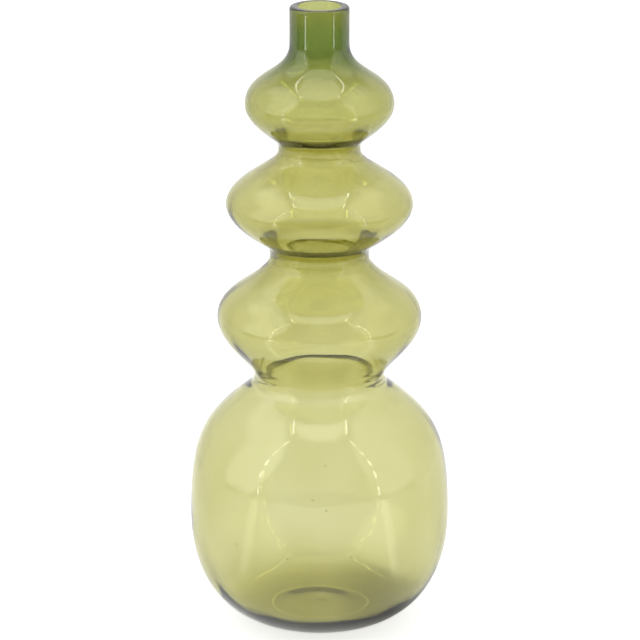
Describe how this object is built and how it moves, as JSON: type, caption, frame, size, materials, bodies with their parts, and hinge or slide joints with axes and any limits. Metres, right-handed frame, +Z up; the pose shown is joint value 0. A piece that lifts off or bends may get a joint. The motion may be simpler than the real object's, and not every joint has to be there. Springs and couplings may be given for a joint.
{
  "type": "stacked gourd vase",
  "caption": "Tall blown-glass vase of flattened bulbs stacked on a round body, with a short straight neck for flower stems.",
  "frame": {"origin": "on the table under the centre of the foot ring", "axes": "+Z up along the vase's axis, from the foot to the mouth; X and Y lie in the table, and the vase is round about Z"},
  "size_m": [0.15, 0.15, 0.3617],
  "materials": {
    "green_glass": "clear, fire-polished, olive to yellow green"
  },
  "bodies": {
    "root": {"rim": "green_glass", "neck": "green_glass", "upper_bulb": "green_glass", "upper_waist": "green_glass", "middle_bulb": "green_glass", "middle_waist": "green_glass", "lower_bulb": "green_glass", "lower_waist": "green_glass", "body": "green_glass", "heel": "green_glass", "punt": "green_glass"}
  },
  "joints": []
}
